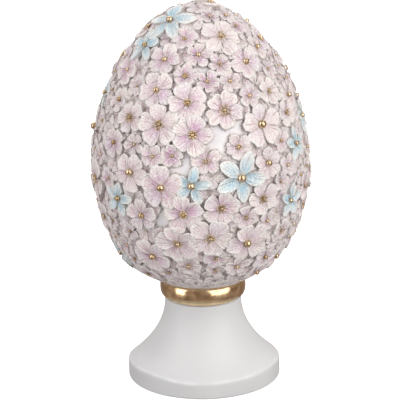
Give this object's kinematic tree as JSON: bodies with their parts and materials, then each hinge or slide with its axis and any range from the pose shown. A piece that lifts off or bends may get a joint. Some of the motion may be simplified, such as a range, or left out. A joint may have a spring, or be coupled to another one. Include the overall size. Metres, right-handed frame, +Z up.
{
  "type": "decorative egg",
  "caption": "Decorative egg covered in relief five-petalled flowers with gilt centres, seated in a gold collar ring on a flared round white stand.",
  "frame": {"origin": "centre of the foot's underside, on the table", "axes": "+Z up along the egg's long axis, -Y towards the side shown in the picture"},
  "size_m": [0.1182, 0.1189, 0.2078],
  "materials": {
    "white_stand": "satin white lacquer on cast resin",
    "gold": "bright gilt",
    "painted_flowers": "hand-painted cast resin with fine glitter, pale pink, lilac and blue flowers"
  },
  "bodies": {
    "root": {"stand": "white_stand", "gold_collar": "gold", "flower_egg": "painted_flowers"}
  },
  "joints": []
}
